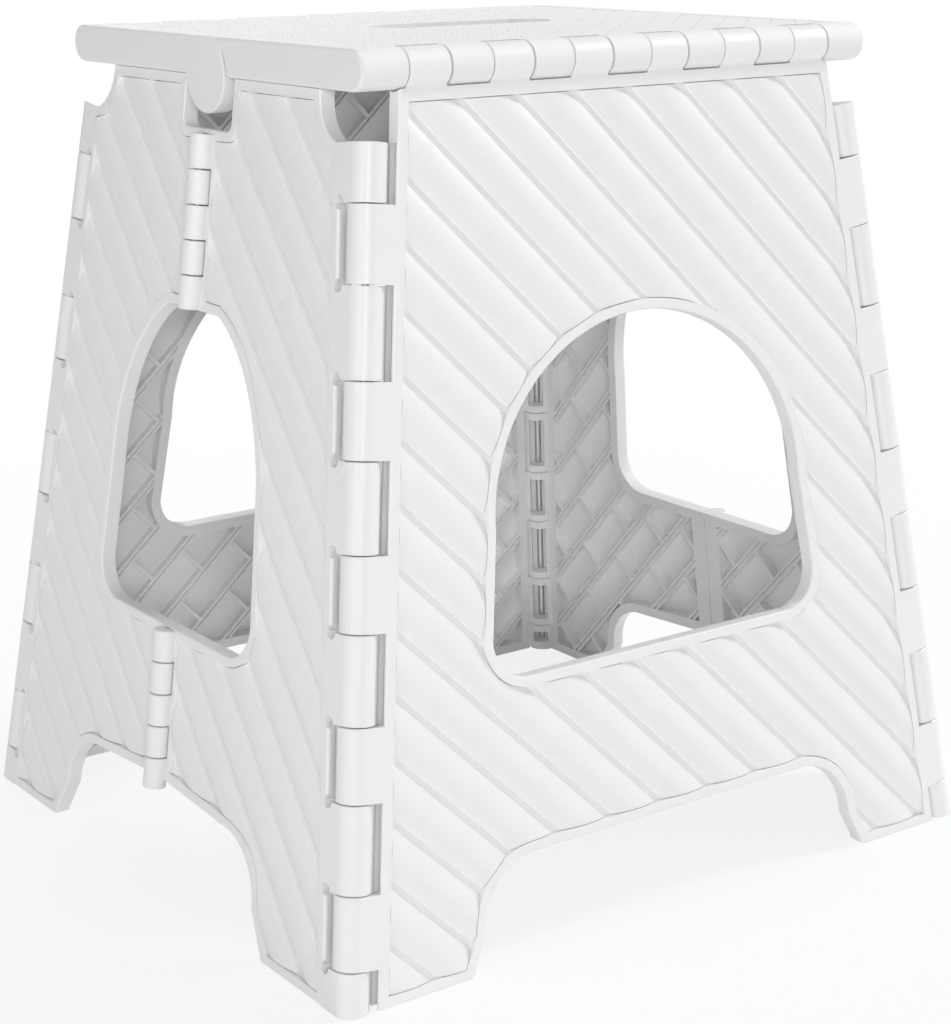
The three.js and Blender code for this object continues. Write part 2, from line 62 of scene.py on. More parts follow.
# Overall size and the four leaning corner axes, as packed
SEAT_HEIGHT = 390
SEAT_LENGTH = 278
SEAT_THICKNESS = 17
CORNER_FLOOR = (177, 161.5)
CORNER_UPPER = (128, 114)
CORNER_UPPER_Z = 373
SEAT_UNDERSIDE = SEAT_HEIGHT - SEAT_THICKNESS
SEAT_CENTRE = SEAT_HEIGHT - SEAT_THICKNESS / 2

# Moulded panels: the inner and outer face as heights over the corner axes, then their edges
INNER = 0.5
OUTER = 8
PANEL_EDGE = 9.2
WEB_OVERLAP = 1.5
SEAM_GAP = 0.4
SEAM_MARGIN = 4.6
FOOT_ROUND = 3
LEAST_ROUND = 0.6
INNER_ROUND = 0.4

# Drops of the bands' crowns below the outer face, of the strips below the bands' edges, and of the
# pocket's floor below the outer face, over and above the crown. Then a channel's floor.
FACE_DROP = 0.1
STRIP_DROP = 0.35
POCKET_DROP = 0.55
CHANNEL_FLOOR = 1.3

# Openings and the arches between the feet: half widths, radii and places up the slope
OPENING_BASE = 125
OPENING_CORNER = 18
OPENING_MIDDLE = 190
FRONT_OPENING = 94
FRONT_OPENING_TOP = (88, 84.5)
FRONT_ARCH = (80, 17)
FRONT_ARCH_RADIUS = 30
FRONT_FOOT = 117
SIDE_OPENING = 70
SIDE_OPENING_TOP = (66, 87)
SIDE_ARCH = (62, 20)
SIDE_ARCH_RADIUS = 28
SIDE_ARCH_TOP = 52
SIDE_FOOT = 100

# Upper end of a side half: its shoulder at the corner and the reliefs under the seat
SHOULDER = 354
SHOULDER_NOTCH = (110, 374)
SHOULDER_NOTCH_RADIUS = 20
SIDE_TOP = (21, 90)
EAR_RELIEF = (17, 356)
EAR_RELIEF_RADIUS = 4

# Corner hinges. The panels' knuckles are listed from the floor up.
BARREL_RADIUS = 8
KNUCKLES = [(18 + 71 * i, 50.5 + 71 * i) for i in range(5)]
BARREL_TOP = 359
KNUCKLE_GAP = 0.5
EDGE_HOLLOW = 3.4
UNDER_FLOOR = -20
NOTCH_RADIUS = 2.9
NOTCH_GAP = 0.4

# Pins, and the wider bores where the linkage was opened
PIN_RADIUS = 1.6
PIN_WALL = 4
BORE_RADIUS = 1.9
BORE_PLAY = {"right_side_back": 1.1, "seat_back": 2.6}

# Side hinges
SIDE_HINGE_OUT = 1.5
SIDE_BARREL = 5.5
SIDE_HINGES = ((47, 124), (272, 350))
SIDE_KNUCKLES = 5
SIDE_PLAY = {"left": 0.6, "right": 1.5}

# Seat hinges
EDGE_Y = 117
EDGE_PITCH = 21.1
EDGE_COUNT = 11
EDGE_RADIUS = SEAT_THICKNESS / 2
EDGE_GAP = 0.8
EDGE_KNUCKLE_GAP = 1
CENTRE_DROP = 8
LOBE_RADIUS = 7.5
LOBE_START = 52
LOBE_LENGTH = 25
LOBE_COUNT = 3
CENTRE_PLAY = 2.9
EAR_WIDTH = 9.5
EAR_RADIUS = 17
EAR_UPPER = 19
EAR_GAP = 0.4
SLOT_HALF = (50, 14)
SLOT_COLLAR = 6.5
SEAM_RELIEF = (2.2, 7)
SEAT_END_ROUND = 1.5
CUT_REACH = 30

# Body and turn about the vertical axis. The side halves also name their side, and the half that
# lies towards positive u has 1.
PANELS = {
    "front_panel": ("front", 0),
    "back_panel": ("back", math.pi),
}
SIDE_HALVES = {
    "left_side_front": ("left_front", "left", 1, -math.pi / 2),
    "left_side_back": ("left_back", "left", -1, -math.pi / 2),
    "right_side_back": ("right_back", "right", 1, math.pi / 2),
    "right_side_front": ("right_front", "right", -1, math.pi / 2),
}
SEATS = {
    "seat_front": ("seat_near", 0),
    "seat_back": ("seat_far", math.pi),
}

# Lamps: name, place and size in metres, and power in watts
LAMPS = (
    ("key", (2.3, -0.65, 1.95), 0.5, 46),
    ("front", (-1.25, -2.2, 0.8), 0.4, 14),
    ("left", (-2.3, -1.1, 0.8), 1.2, 13),
    ("top", (0.2, 0.2, 2.4), 1.2, 9),
    ("back", (0.7, 2.3, 1.3), 1.2, 15),
)
LAMP_AIM = (0, 0, 0.2)


class StoolSizes(bpy.types.PropertyGroup):
    """Sizes of the moulded surface"""
    rim: bpy.props.FloatProperty(
        name="Rim", description="Width of the plain rim round a panel",
        default=4.6 * MM, min=0.002, max=0.012, unit="LENGTH")
    rim_groove: bpy.props.FloatProperty(
        name="Rim groove", description="Width of the fine line between the rim and the bands",
        default=0.35 * MM, min=0, max=0.004, unit="LENGTH")
    band_pitch: bpy.props.FloatProperty(
        name="Band pitch", description="Distance from one diagonal band to the next",
        default=21 * MM, min=0.01, max=0.05, unit="LENGTH")
    band_crown: bpy.props.FloatProperty(
        name="Band crown", description="How far the middle of a band stands over its edges",
        default=2.3 * MM, min=0, max=0.003, unit="LENGTH")
    strip_width: bpy.props.FloatProperty(
        name="Strip width", description="Width of the narrow strip between two bands",
        default=2.8 * MM, min=0.001, max=0.01, unit="LENGTH")
    rib_thickness: bpy.props.FloatProperty(
        name="Rib thickness", description="Thickness of the cross ribs on the inner faces",
        default=1.9 * MM, min=0.001, max=0.005, unit="LENGTH")
    rib_pair: bpy.props.FloatProperty(
        name="Rib pair", description="Width over the two ribs that run behind each strip",
        default=3.8 * MM, min=0.002, max=0.01, unit="LENGTH")
    channel: bpy.props.FloatProperty(
        name="Channel", description="Width of the channel between those two ribs",
        default=1.4 * MM, min=0, max=0.005, unit="LENGTH")
    wall: bpy.props.FloatProperty(
        name="Wall", description="Thickness of the moulded wall between a band and its hollows",
        default=1.6 * MM, min=0.001, max=0.003, unit="LENGTH")
    bay_length: bpy.props.FloatProperty(
        name="Bay length", description="Distance between two cross ribs along a band",
        default=43 * MM, min=0.02, max=0.1, unit="LENGTH")
    edge_round: bpy.props.FloatProperty(
        name="Edge round", description="Radius on the edges of the mouldings",
        default=0.9 * MM, min=0.0002, max=0.002, unit="LENGTH")
    arc_steps: bpy.props.IntProperty(
        name="Arc steps", description="Straight pieces in a quarter turn",
        default=16, min=4, max=48)


class StoolColours(bpy.types.PropertyGroup):
    """Colours and finishes, as sRGB hex values where they are colours"""
    plastic: bpy.props.StringProperty(
        name="Plastic", description="Colour of the moulded polypropylene", default="#F6F6F6")
    plastic_roughness: bpy.props.FloatProperty(
        name="Plastic roughness", description="Roughness of the moulded surface",
        default=0.32, min=0.05, max=1, subtype="FACTOR")
    steel: bpy.props.StringProperty(
        name="Steel", description="Colour of the hinge pins", default="#D4D5D7")
    floor: bpy.props.StringProperty(
        name="Floor", description="Colour of the studio floor", default="#F4F4F4")


def linear(hex_colour):
    """An sRGB hex value as linear red, green, blue and alpha"""
    parts = [int(hex_colour[i:i + 2], 16) / 255 for i in (1, 3, 5)]
    return [c / 12.92 if c <= 0.04045 else ((c + 0.055) / 1.055) ** 2.4 for c in parts] + [1]


def add_node(tree, kind, settings=None, **links):
    """Adds a node. Settings are attributes or input values, and links are sockets."""
    node = tree.nodes.new(kind)
    for key, value in (settings or {}).items():
        if isinstance(key, str) and hasattr(node, key):
            setattr(node, key, value)
        else:
            node.inputs[key].default_value = value
    for key, socket in links.items():
        name = key.replace("_", " ")
        tree.links.new(socket, node.inputs[int(key[1:]) if key[1:].isdigit() else name])
    return node


def new_material(name):
    """A material with an empty node tree"""
    material = bpy.data.materials.new(name)
    material.use_nodes = True
    material.node_tree.nodes.clear()
    return material, material.node_tree


def plastic_name(banded):
    """Name of the plastic's material, with or without sink marks on its bands"""
    return "moulded_polypropylene_banded" if banded else "moulded_polypropylene"


def moulded_polypropylene(colours, sizes, banded):
    """Injection moulded polypropylene: waxy semi-gloss white, with a spark-eroded fine grain that
    breaks up reflections, and on the panels faint sink marks where the cross ribs stand behind."""
    material, tree = new_material(plastic_name(banded))
    place = add_node(tree, "ShaderNodeTexCoord").outputs["Object"]
    # The real grain is about 0.5 mm and too fine to show, so it is drawn at 0.9 mm
    grain = add_node(
        tree, "ShaderNodeTexNoise", {"Scale": 1 / (0.9 * MM), "Detail": 2}, Vector=place)
    # Slow changes of gloss and tint over about 38 mm, from the melt's flow in the mould
    flow = add_node(
        tree, "ShaderNodeTexNoise", {"Scale": 1 / (38 * MM), "Detail": 3}, Vector=place)
    rough = add_node(
        tree, "ShaderNodeMapRange",
        {"From Min": 0.3, "From Max": 0.7,
         "To Min": colours.plastic_roughness, "To Max": colours.plastic_roughness + 0.06},
        Value=flow.outputs["Fac"])
    # The grain is 0.02 mm deep
    height = add_node(
        tree, "ShaderNodeMath", {"operation": "MULTIPLY", 1: 0.02}, i0=grain.outputs["Fac"])
    if banded:
        height = add_node(
            tree, "ShaderNodeMath", {"operation": "ADD"},
            i0=height.outputs[0], i1=sink_marks(tree, place, sizes))
    bump = add_node(
        tree, "ShaderNodeBump", {"Strength": 1, "Distance": MM}, Height=height.outputs[0])
    base = linear(colours.plastic)
    duller = [0.98 * part for part in base[:3]] + [1]
    tint = add_node(
        tree, "ShaderNodeMix", {"data_type": "RGBA", 6: base, 7: duller}, i0=flow.outputs["Fac"])
    shader = add_node(
        tree, "ShaderNodeBsdfPrincipled",
        {"IOR": 1.49, "Subsurface Weight": 0.08, "Subsurface Radius": (0.0024, 0.0024, 0.0024),
         "Subsurface Scale": 1},
        Base_Color=tint.outputs[2], Roughness=rough.outputs[0], Normal=bump.outputs[0])
    add_node(tree, "ShaderNodeOutputMaterial", Surface=shader.outputs[0])
    return material


def sink_marks(tree, place, sizes):
    """Height in millimetres of low marks across the bands, where the staggered cross ribs stand"""
    half_width, depth = 3 * MM, 0.14
    turned = add_node(
        tree, "ShaderNodeVectorRotate", {"rotation_type": "Z_AXIS", "Angle": math.radians(45)},
        Vector=place)
    split = add_node(tree, "ShaderNodeSeparateXYZ", Vector=turned.outputs[0])
    along, across = split.outputs["X"], split.outputs["Y"]
    row = add_node(
        tree, "ShaderNodeMath", {"operation": "DIVIDE", 1: sizes.band_pitch}, i0=across)
    row = add_node(tree, "ShaderNodeMath", {"operation": "ROUND"}, i0=row.outputs[0])
    shift = add_node(
        tree, "ShaderNodeMath", {"operation": "MULTIPLY_ADD", 1: sizes.bay_length / 2},
        i0=row.outputs[0], i2=along)
    wave = add_node(
        tree, "ShaderNodeMath", {"operation": "PINGPONG", 1: sizes.bay_length / 2},
        i0=shift.outputs[0])
    mark = add_node(
        tree, "ShaderNodeMapRange",
        {"interpolation_type": "SMOOTHSTEP", "From Min": sizes.bay_length / 2 - half_width,
         "From Max": sizes.bay_length / 2, "To Min": 0, "To Max": -depth},
        Value=wave.outputs[0])
    # The marks fade out before they reach the narrow strips
    beside = add_node(
        tree, "ShaderNodeMath", {"operation": "PINGPONG", 1: sizes.band_pitch / 2}, i0=across)
    fade = add_node(
        tree, "ShaderNodeMapRange",
        {"interpolation_type": "SMOOTHSTEP", "From Min": 0.2 * sizes.band_pitch,
         "From Max": 0.42 * sizes.band_pitch, "To Min": 1, "To Max": 0},
        Value=beside.outputs[0])
    faded = add_node(
        tree, "ShaderNodeMath", {"operation": "MULTIPLY"}, i0=mark.outputs[0], i1=fade.outputs[0])
    return faded.outputs[0]


def drawn_steel(colours):
    """Drawn steel wire: bright, with fine lines from the die that blur its reflections."""
    material, tree = new_material("drawn_steel_wire")
    place = add_node(tree, "ShaderNodeTexCoord").outputs["Object"]
    stretched = add_node(
        tree, "ShaderNodeMapping", {"Scale": (1 / (0.2 * MM), 1 / (0.2 * MM), 1 / (20 * MM))},
        Vector=place)
    lines = add_node(
        tree, "ShaderNodeTexNoise", {"Scale": 1, "Detail": 1}, Vector=stretched.outputs[0])
    rough = add_node(
        tree, "ShaderNodeMapRange", {"To Min": 0.34, "To Max": 0.52}, Value=lines.outputs["Fac"])
    shader = add_node(
        tree, "ShaderNodeBsdfPrincipled", {"Base Color": linear(colours.steel), "Metallic": 1},
        Roughness=rough.outputs[0])
    add_node(tree, "ShaderNodeOutputMaterial", Surface=shader.outputs[0])
    return material


def arc(centre, radii, start, end, count):
    """Points on an ellipse from one angle to another, in degrees"""
    angles = [math.radians(start + (end - start) * i / count) for i in range(count + 1)]
    return [
        (centre[0] + radii[0] * math.cos(a), centre[1] + radii[1] * math.sin(a)) for a in angles]


class PanelPlane:
    """A leaning panel's plane. The corner hinge axes lie in n = 0."""

    def __init__(self, axis):
        floor, upper = CORNER_FLOOR[axis], CORNER_UPPER[axis]
        self.half_floor = CORNER_FLOOR[1 - axis]
        length = math.hypot(floor - upper, CORNER_UPPER_Z)
        self.slope = math.atan2(floor - upper, CORNER_UPPER_Z)
        self.lean = math.atan2(self.half_floor - CORNER_UPPER[1 - axis], length)
        sin, cos = math.sin(self.slope), math.cos(self.slope)
        self.matrix = Matrix((
            (1, 0, 0, 0),
            (0, sin, -cos, -floor),
            (0, cos, sin, 0),
            (0, 0, 0, 1),
        ))

    def edge(self, v, inset=0):
        """The straight side of the panel at a place up its slope"""
        middle = self.half_floor - v * math.tan(self.lean)
        return middle - (PANEL_EDGE + inset) / math.cos(self.lean)

    def up(self, z, n):
        """A height above the floor as a place up the slope"""
        return (z - n * math.sin(self.slope)) / math.cos(self.slope)

    def corner(self, sign, along, offset=0):
        """A point on a corner axis, moved into the panel by an offset"""
        sin, cos = math.sin(self.lean), math.cos(self.lean)
        across = self.half_floor - along * sin - offset * cos
        return Vector((sign * across, along * cos - offset * sin, 0))

    def placed(self, turn):
        """Where the panel's own frame stands, in metres"""
        matrix = Matrix.Rotation(turn, 4, "Z") @ self.matrix
        matrix.translation = matrix.translation * MM
        return matrix


FRONT = PanelPlane(1)
SIDE = PanelPlane(0)


def front_outline(inset, n, steps, field=False):
    """The front panel's outer loop and its opening, drawn further in by an inset. Its banded field
    stops under the seat."""
    foot = FRONT.up(0, n) + inset
    top = FRONT.up(SEAT_UNDERSIDE, OUTER) - inset if field else FRONT.up(SEAT_CENTRE, 0)
    corner = max(FOOT_ROUND - inset, LEAST_ROUND)
    inner = FRONT_FOOT + inset
    arch = FRONT_ARCH_RADIUS + inset
    side = [
        (FRONT.edge(foot, inset), foot),
        (FRONT.edge(top, inset), top),
    ]
    right = (
        arc(FRONT_ARCH, (arch, arch), 90, 0, steps)
        + arc((inner + corner, foot + corner), (corner, corner), 180, 270, steps)
        + side
    )
    outer = right + [(-u, v) for u, v in reversed(right)]
    base, radius = OPENING_BASE - inset, OPENING_CORNER + inset
    half = FRONT_OPENING + inset
    across, rise = (r + inset for r in FRONT_OPENING_TOP)
    opening = (
        arc((half - radius, base + radius), (radius, radius), -90, 0, steps)
        + arc((0, OPENING_MIDDLE), (across, rise), 0, 90, 2 * steps)
    )
    opening += [(-u, v) for u, v in reversed(opening[:-1])]
    return outer, opening


def side_outline(sign, inset, n, steps, field=False):
    """One half of a side, on the side of positive u where sign is 1. Its banded field keeps clear
    of the seam."""
    foot = SIDE.up(0, n) + inset
    seam = SEAM_GAP / 2 + inset + (SEAM_MARGIN if field else 0)
    top = SIDE.up(SEAT_UNDERSIDE - SEAM_GAP, n) - (inset if field else 0)
    corner = max(FOOT_ROUND - inset, LEAST_ROUND)
    inner = SIDE_FOOT + inset
    arch = SIDE_ARCH_RADIUS + inset
    across, rise = (r + inset for r in SIDE_OPENING_TOP)
    base, radius = OPENING_BASE - inset, OPENING_CORNER + inset
    half = SIDE_OPENING + inset
    shoulder = SHOULDER - inset
    notch = SHOULDER_NOTCH_RADIUS + inset
    notch_end = 180 + math.degrees(math.asin(max(0, (SHOULDER_NOTCH[1] - top) / notch)))
    relief = EAR_RELIEF_RADIUS + inset
    strip_low, strip_high = SIDE_HINGES[1][0], EAR_RELIEF[1] - EAR_RELIEF_RADIUS
    start = math.degrees(math.asin((strip_low - OPENING_MIDDLE + inset) / rise))
    loop = (
        [(seam, SIDE_ARCH_TOP + inset)]
        + arc(SIDE_ARCH, (arch, arch), 90, 0, steps)
        + arc((inner + corner, foot + corner), (corner, corner), 180, 270, steps)
        + [(SIDE.edge(foot, inset), foot), (SIDE.edge(shoulder, inset), shoulder)]
        + arc(SHOULDER_NOTCH, (notch, notch), 270, notch_end, steps)
        + [(SIDE_TOP[1] - inset, top), (SIDE_TOP[0] + inset, top)]
        + arc(EAR_RELIEF, (relief, relief), 0, -90, steps)
        + [(seam, strip_high - inset), (seam, strip_low + inset)]
        + arc((0, OPENING_MIDDLE), (across, rise), start, 0, 2 * steps)
        + arc((half - radius, base + radius), (radius, radius), 0, -90, steps)
        + [(seam, base)]
    )
    return [(sign * u, v) for u, v in loop], None


def new_piece(name, bm):
    """A mesh object from a bmesh drawn in millimetres"""
    bmesh.ops.recalc_face_normals(bm, faces=bm.faces)
    mesh = bpy.data.meshes.new(name)
    bm.to_mesh(mesh)
    bm.free()
    piece = bpy.data.objects.new(name, mesh)
    bpy.context.scene.collection.objects.link(piece)
    return piece


def combined(target, other, operation):
    """Joins or cuts one closed piece by another, which is used up"""
    modifier = target.modifiers.new(operation, "BOOLEAN")
    modifier.object, modifier.operation, modifier.solver = other, operation, "MANIFOLD"
    graph = bpy.context.evaluated_depsgraph_get()
    mesh = bpy.data.meshes.new_from_object(target.evaluated_get(graph))
    if not mesh.polygons:
        raise RuntimeError(f"{operation} left nothing of {target.name}")
    target.modifiers.clear()
    old = target.data
    target.data = mesh
    bpy.data.meshes.remove(old)
    bpy.data.meshes.remove(other.data)
    return target


def lofted(bm, rings, heights):
    """A closed solid through loops of points. A ring is an outer loop and its opening or None."""
    layers = []
    for (outer, opening), z in zip(rings, heights):
        layers.append([
            [bm.verts.new((x, y, z)) for x, y in loop] for loop in (outer, opening) if loop
        ])
    for low, high in zip(layers, layers[1:]):
        for a, b in zip(low, high):
            for i in range(len(a)):
                j = (i + 1) % len(a)
                bm.faces.new((a[i], a[j], b[j], b[i]))
    for layer in (layers[0], layers[-1]):
        corners = [v for loop in layer for v in loop]
        loops = [[Vector((v.co.x, v.co.y, 0)) for v in loop] for loop in layer]
        for triangle in tessellate_polygon(loops):
            bm.faces.new([corners[i] for i in triangle])


def plate(name, outline, low, high, low_round=0, high_round=0):
    """A plate between two faces. The outline is a function of inset and height."""
    levels = []
    for depth, radius, way in ((low, low_round, 1), (high, high_round, -1)):
        level = []
        for turn in map(math.radians, (0, 30, 60, 90) if radius else (90,)):
            inset, rise = radius * (1 - math.sin(turn)), radius * (1 - math.cos(turn))
            level.append((inset, depth + way * rise))
        levels += level if way == 1 else level[::-1]
    bm = bmesh.new()
    lofted(bm, [outline(inset, z) for inset, z in levels], [z for _, z in levels])
    return new_piece(name, bm)


def add_rod(bm, start, end, radius, sides=40, chamfer=0.35):
    """A round bar with a small chamfer on both ends"""
    start, end = Vector(start), Vector(end)
    way = (end - start).normalized()
    turn = way.to_track_quat("Z", "Y")
    rings = []
    for place, r in (
        (start, radius - chamfer), (start + way * chamfer, radius),
        (end - way * chamfer, radius), (end, radius - chamfer),
    ):
        rings.append([
            bm.verts.new(place + turn @ Vector((r * math.cos(a), r * math.sin(a), 0)))
            for a in (2 * math.pi * i / sides for i in range(sides))
        ])
    for a, b in zip(rings, rings[1:]):
        for i in range(sides):
            j = (i + 1) % sides
            bm.faces.new((a[i], a[j], b[j], b[i]))
    bm.faces.new(rings[0][::-1])
    bm.faces.new(rings[-1])


def rods(name, ends, radius, sides=40, chamfer=0.35):
    """Several round bars that don't touch, as one piece"""
    bm = bmesh.new()
    for start, end in ends:
        add_rod(bm, start, end, radius, sides, chamfer)
    return new_piece(name, bm)


def add_prism(bm, profile, length, matrix):
    """A profile of across and height values, drawn out along x about its middle"""
    loops = [
        [bm.verts.new(matrix @ Vector((x, across, height))) for across, height in profile]
        for x in (-length / 2, length / 2)
    ]
    for i in range(len(profile)):
        j = (i + 1) % len(profile)
        bm.faces.new((loops[0][i], loops[0][j], loops[1][j], loops[1][i]))
    bm.faces.new(loops[0][::-1])
    bm.faces.new(loops[1])


def add_box(bm, low, high):
    """A plain block between two opposite corners, for cutting"""
    profile = [(low[1], low[2]), (high[1], low[2]), (high[1], high[2]), (low[1], high[2])]
    middle = Matrix.Translation(((low[0] + high[0]) / 2, 0, 0))
    add_prism(bm, profile, high[0] - low[0], middle)


# The bands run down to the right at 45 degrees, and are drawn past every edge of a panel
BAND_TURN = Matrix.Rotation(math.radians(-45), 4, "Z")
REACH = 440


def banded_field(sizes, floor):
    """The diagonal bands of an outer face: crowned, with a narrow strip sunk between two of them"""
    pitch, crown = sizes.band_pitch / MM, sizes.band_crown / MM
    strip, count = sizes.strip_width / MM, math.ceil(REACH / pitch)
    width = pitch - strip
    surface = OUTER - FACE_DROP
    sunk = surface - crown - STRIP_DROP
    bottom = floor - 0.4
    profile = []
    for i in range(-count, count):
        start = (i + 0.5) * pitch
        profile += [(start - strip / 2, sunk), (start + strip / 2, sunk)]
        profile += [
            (start + strip / 2 + width * share, surface - crown * (2 * share - 1) ** 2)
            for share in (0.015, 0.12, 0.24, 0.37, 0.5, 0.63, 0.76, 0.88, 0.985)
        ]
    profile += [(profile[-1][0], bottom), (profile[0][0], bottom)]
    bm = bmesh.new()
    add_prism(bm, profile, 2 * REACH, BAND_TURN)
    return new_piece("bands", bm)


def inner_bays(sizes):
    """The hollows of an inner face, between pairs of diagonal ribs and staggered cross ribs"""
    pitch, length = sizes.band_pitch / MM, sizes.bay_length / MM
    rib, crown = sizes.rib_thickness / MM, sizes.band_crown / MM
    half, channel = (pitch - sizes.rib_pair / MM) / 2, sizes.channel / MM / 2
    roof = OUTER - FACE_DROP - sizes.wall / MM
    mouth, bottom = INNER - 5, INNER + CHANNEL_FLOOR
    profile = [(-half, mouth), (half, mouth)] + [
        (half * share, roof - crown * share ** 2)
        for share in (1, 0.75, 0.5, 0.25, 0, -0.25, -0.5, -0.75, -1)
    ]
    groove = [(-channel, mouth), (channel, mouth), (channel, bottom), (-channel, bottom)]
    rows, columns = math.ceil(REACH / pitch), math.ceil(REACH / length)
    bm = bmesh.new()
    for i in range(-rows, rows + 1):
        place = BAND_TURN @ Vector((0, (i + 0.5) * pitch, 0))
        add_prism(bm, groove, 2 * REACH, Matrix.Translation(place) @ BAND_TURN)
        for j in range(-columns, columns + 1):
            place = BAND_TURN @ Vector(((j + (i % 2) / 2) * length, i * pitch, 0))
            # Only bays whose middles lie on or near a panel
            if abs(place.x) < 190 and -20 < place.y < 400:
                matrix = Matrix.Translation(place) @ BAND_TURN
                add_prism(bm, profile, length - rib, matrix)
    return new_piece("bays", bm)


def corner_hinge(plane, sign, places):
    """Barrels on one edge of a panel and the webs that join them to it"""
    ends = []
    webs = bmesh.new()
    for start, end in places:
        low, high = start + KNUCKLE_GAP / 2, end - KNUCKLE_GAP / 2
        ends.append((plane.corner(sign, low), plane.corner(sign, high)))
        root = PANEL_EDGE + WEB_OVERLAP
        loop = [
            plane.corner(sign, along, offset).to_2d()
            for along, offset in ((low, 0), (high, 0), (high, root), (low, root))
        ]
        lofted(webs, [(loop, None), (loop, None)], [INNER, OUTER])
    return rods("barrels", ends, BARREL_RADIUS), new_piece("webs", webs)


def barrel_windows(plane, sign, places):
    """Hollows cut into the barrels from the stool's inside, which leave the pin in sight"""
    bm = bmesh.new()
    wall, half, shortest, above_floor = 4.5, 4.4, 6, 2
    profile = [(-half, 0.2), (half, 0.2), (half, 14), (-half, 14)]
    for start, end in places:
        low, high = max(start, above_floor) + wall, end - wall
        if high - low < shortest:
            continue
        middle = plane.corner(sign, (low + high) / 2)
        along = (plane.corner(sign, high) - plane.corner(sign, low)).normalized()
        out = Vector((0, 0, 1))
        aside = along.cross(out) * (1 if sign < 0 else -1)
        inward = (aside - out).normalized()
        across = inward.cross(along)
        turn = Matrix((along, across, inward)).transposed().to_4x4()
        add_prism(bm, profile, high - low, Matrix.Translation(middle) @ turn)
    return new_piece("windows", bm)


def web_notches(plane, sign):
    """Round reliefs in a side's webs beside the ends of the other panel's knuckles"""
    ends = []
    low, high = Vector((0, 0, INNER + 1)), Vector((0, 0, OUTER + 4))
    for start, end in KNUCKLES:
        for along in (start - NOTCH_GAP, end + NOTCH_GAP):
            place = plane.corner(sign, along, BARREL_RADIUS + NOTCH_GAP)
            ends.append((place + low, place + high))
    return rods("notches", ends, NOTCH_RADIUS, 32, 0)


def edge_hollows(plane, sign, places, skin):
    """Slots in a panel's edge beside the other panel's barrels, between its two skins"""
    bm = bmesh.new()
    # They start just outside the edge, so that the cut is clean
    near, far = PANEL_EDGE - 2, PANEL_EDGE + EDGE_HOLLOW
    for start, end in places:
        loop = [
            plane.corner(sign, along, offset).to_2d()
            for along, offset in ((start, near), (end, near), (end, far), (start, far))
        ]
        lofted(bm, [(loop, None), (loop, None)], [INNER + skin, OUTER - skin])
    return new_piece("hollows", bm)


def side_barrels():
    """Places of the sides' barrels, which fill the corner axes between the panels' knuckles"""
    between = [(a[1], b[0]) for a, b in zip(KNUCKLES, KNUCKLES[1:])]
    return [(UNDER_FLOOR, KNUCKLES[0][0])] + between + [(KNUCKLES[-1][1], BARREL_TOP)]


def corner_bore(plane, sign):
    """The pin's bore along a corner axis, which starts under the floor"""
    ends = (plane.corner(sign, UNDER_FLOOR), plane.corner(sign, BARREL_TOP - PIN_WALL))
    return rods("bore", [ends], BORE_RADIUS, 20, 0)


def below_floor(plane):
    """Everything under the floor, in a panel's own frame"""
    bm = bmesh.new()
    add_box(bm, (-REACH, -REACH, -REACH), (REACH, REACH, 0))
    bm.transform(plane.matrix.inverted())
    return new_piece("floor_cut", bm)


def moulded_plate(name, sizes, outline):
    """A panel's plate with its rim, the bands outside and the ribs inside"""
    rim, groove = sizes.rim / MM, sizes.rim_groove / MM
    inner_rim = rim + 1
    floor, over = OUTER - sizes.band_crown / MM - POCKET_DROP, OUTER + 3
    body = plate(
        name, lambda inset, n: outline(inset, n, False),
        INNER, OUTER, INNER_ROUND, sizes.edge_round / MM)
    pocket = plate("pocket", lambda inset, n: outline(rim + inset, OUTER, True), floor, over)
    combined(body, pocket, "DIFFERENCE")
    bands = banded_field(sizes, floor)
    clip = plate(
        "clip", lambda inset, n: outline(rim + groove + inset, OUTER, True), floor - 2, over)
    combined(body, combined(bands, clip, "INTERSECT"), "UNION")
    bays = inner_bays(sizes)
    clip = plate("clip", lambda inset, n: outline(inner_rim + inset, 0, True), INNER - 8, OUTER)
    return combined(body, combined(bays, clip, "INTERSECT"), "DIFFERENCE")


def edge_knuckles():
    """Places along the seat's edge: those of the panel, then those of the seat"""
    places = []
    for i in range(EDGE_COUNT):
        start = (i - EDGE_COUNT / 2) * EDGE_PITCH
        places.append((start + EDGE_KNUCKLE_GAP / 2, start + EDGE_PITCH - EDGE_KNUCKLE_GAP / 2))
    return places[::2], places[1::2]


def finished(piece, body, node, material):
    """Turns a piece to metres, smooths it by angle, and ties it to its body and CAD node"""
    merged, sharp = 0.00001, math.radians(35)
    piece.data.transform(Matrix.Scale(MM, 4))
    bm = bmesh.new()
    bm.from_mesh(piece.data)
    bmesh.ops.remove_doubles(bm, verts=bm.verts, dist=merged)
    bmesh.ops.dissolve_degenerate(bm, edges=bm.edges, dist=merged)
    for face in bm.faces:
        face.smooth = True
    for edge in bm.edges:
        edge.smooth = edge.is_manifold and edge.calc_face_angle(0) < sharp
    bm.to_mesh(piece.data)
    bm.free()
    weighted = piece.modifiers.new("Face weight", "WEIGHTED_NORMAL")
    weighted.keep_sharp = True
    piece.data.materials.clear()
    piece.data.materials.append(material)
    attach(piece, body)
    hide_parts(node)
    return piece


def plastic_material(context, banded):
    """The plastic's material, made the first time that it is asked for"""
    return bpy.data.materials.get(plastic_name(banded)) or moulded_polypropylene(
        context.scene.stool_colours, context.scene.stool_sizes, banded)


